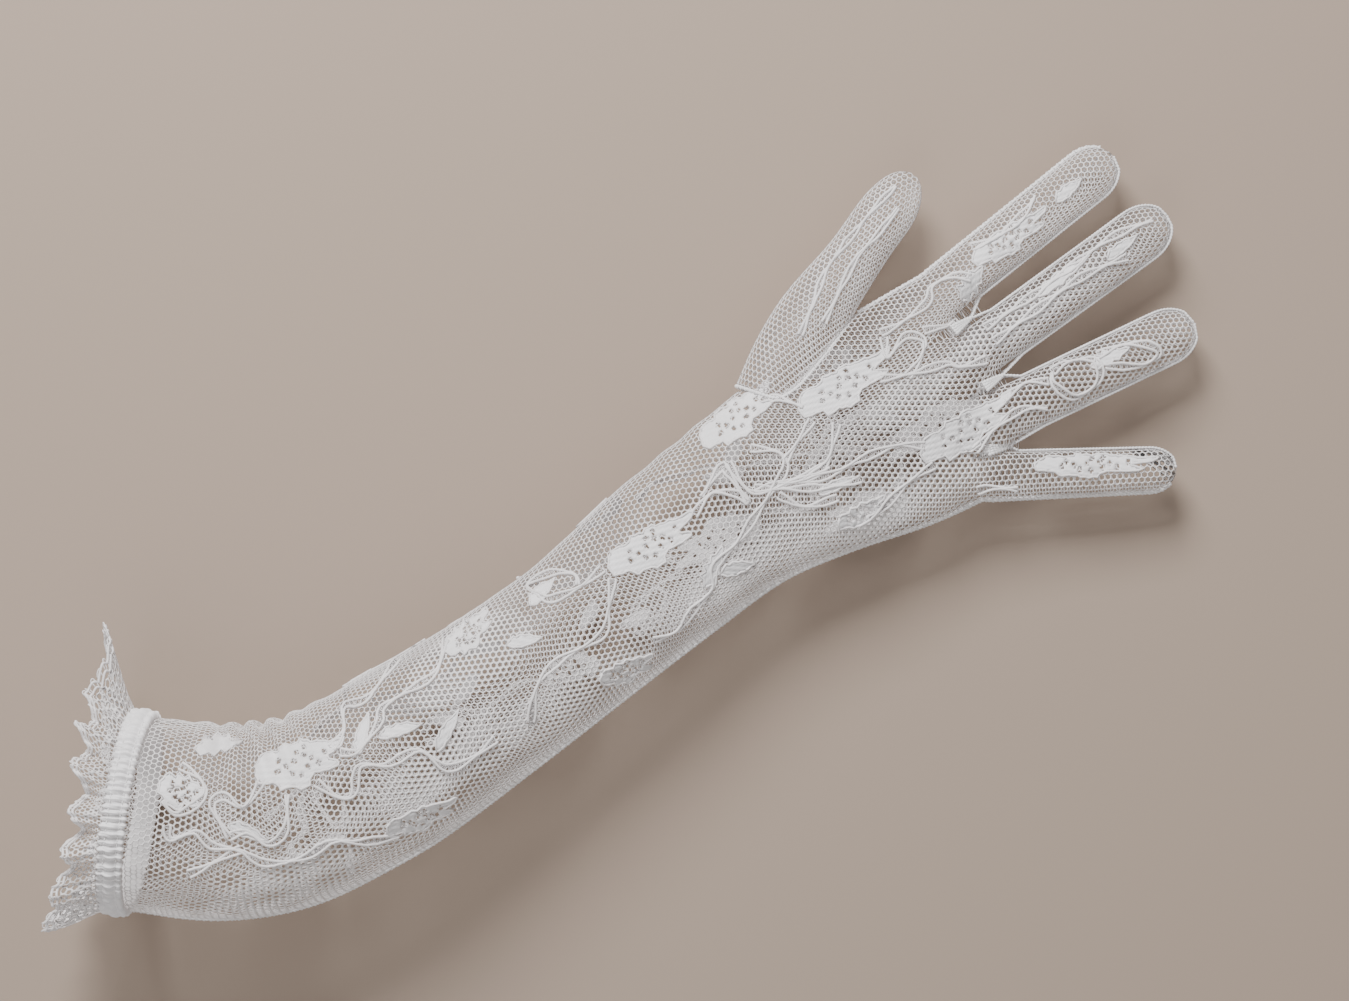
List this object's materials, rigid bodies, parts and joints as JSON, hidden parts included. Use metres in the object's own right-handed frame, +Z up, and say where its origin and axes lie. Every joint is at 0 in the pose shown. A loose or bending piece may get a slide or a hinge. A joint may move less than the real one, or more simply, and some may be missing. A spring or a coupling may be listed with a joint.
{
  "type": "long lace glove",
  "caption": "Long see-through floral lace glove that covers a right hand and arm past the elbow, closed by an elastic band with a gathered lace frill.",
  "frame": {"origin": "on the surface that the glove lies on, under the middle of its bounding box", "axes": "+X along the forearm towards the fingers, +Y towards the thumb, +Z up from the surface, away from the palm"},
  "size_m": [0.4922, 0.1736, 0.0856],
  "materials": {
    "lace": "soft satin thread",
    "seam_thread": "soft satin thread",
    "fourchette_net": "soft satin thread",
    "gathered_band": "soft satin thread",
    "elastic": "matte",
    "ruffle_lace": "soft satin thread",
    "ruffle_edging": "soft satin thread"
  },
  "bodies": {
    "root": {"back_sleeve": "lace", "back_hand": "lace", "back_index": "lace", "back_middle": "lace", "back_ring": "lace", "back_little": "lace", "palm_sleeve": "lace", "palm_hand": "lace", "palm_index": "lace", "palm_middle": "lace", "palm_ring": "lace", "palm_little": "lace", "thumb_back": "lace", "thumb_palm": "lace", "thumb_seam": "seam_thread", "side_seam": "seam_thread", "index_seam": "seam_thread", "fourchette_index_middle": "fourchette_net", "fourchette_middle_ring": "fourchette_net", "fourchette_ring_little": "fourchette_net", "band_casing": "gathered_band", "elastic_ring": "elastic", "ruffle": "ruffle_lace", "ruffle_border": "ruffle_edging"}
  },
  "joints": []
}
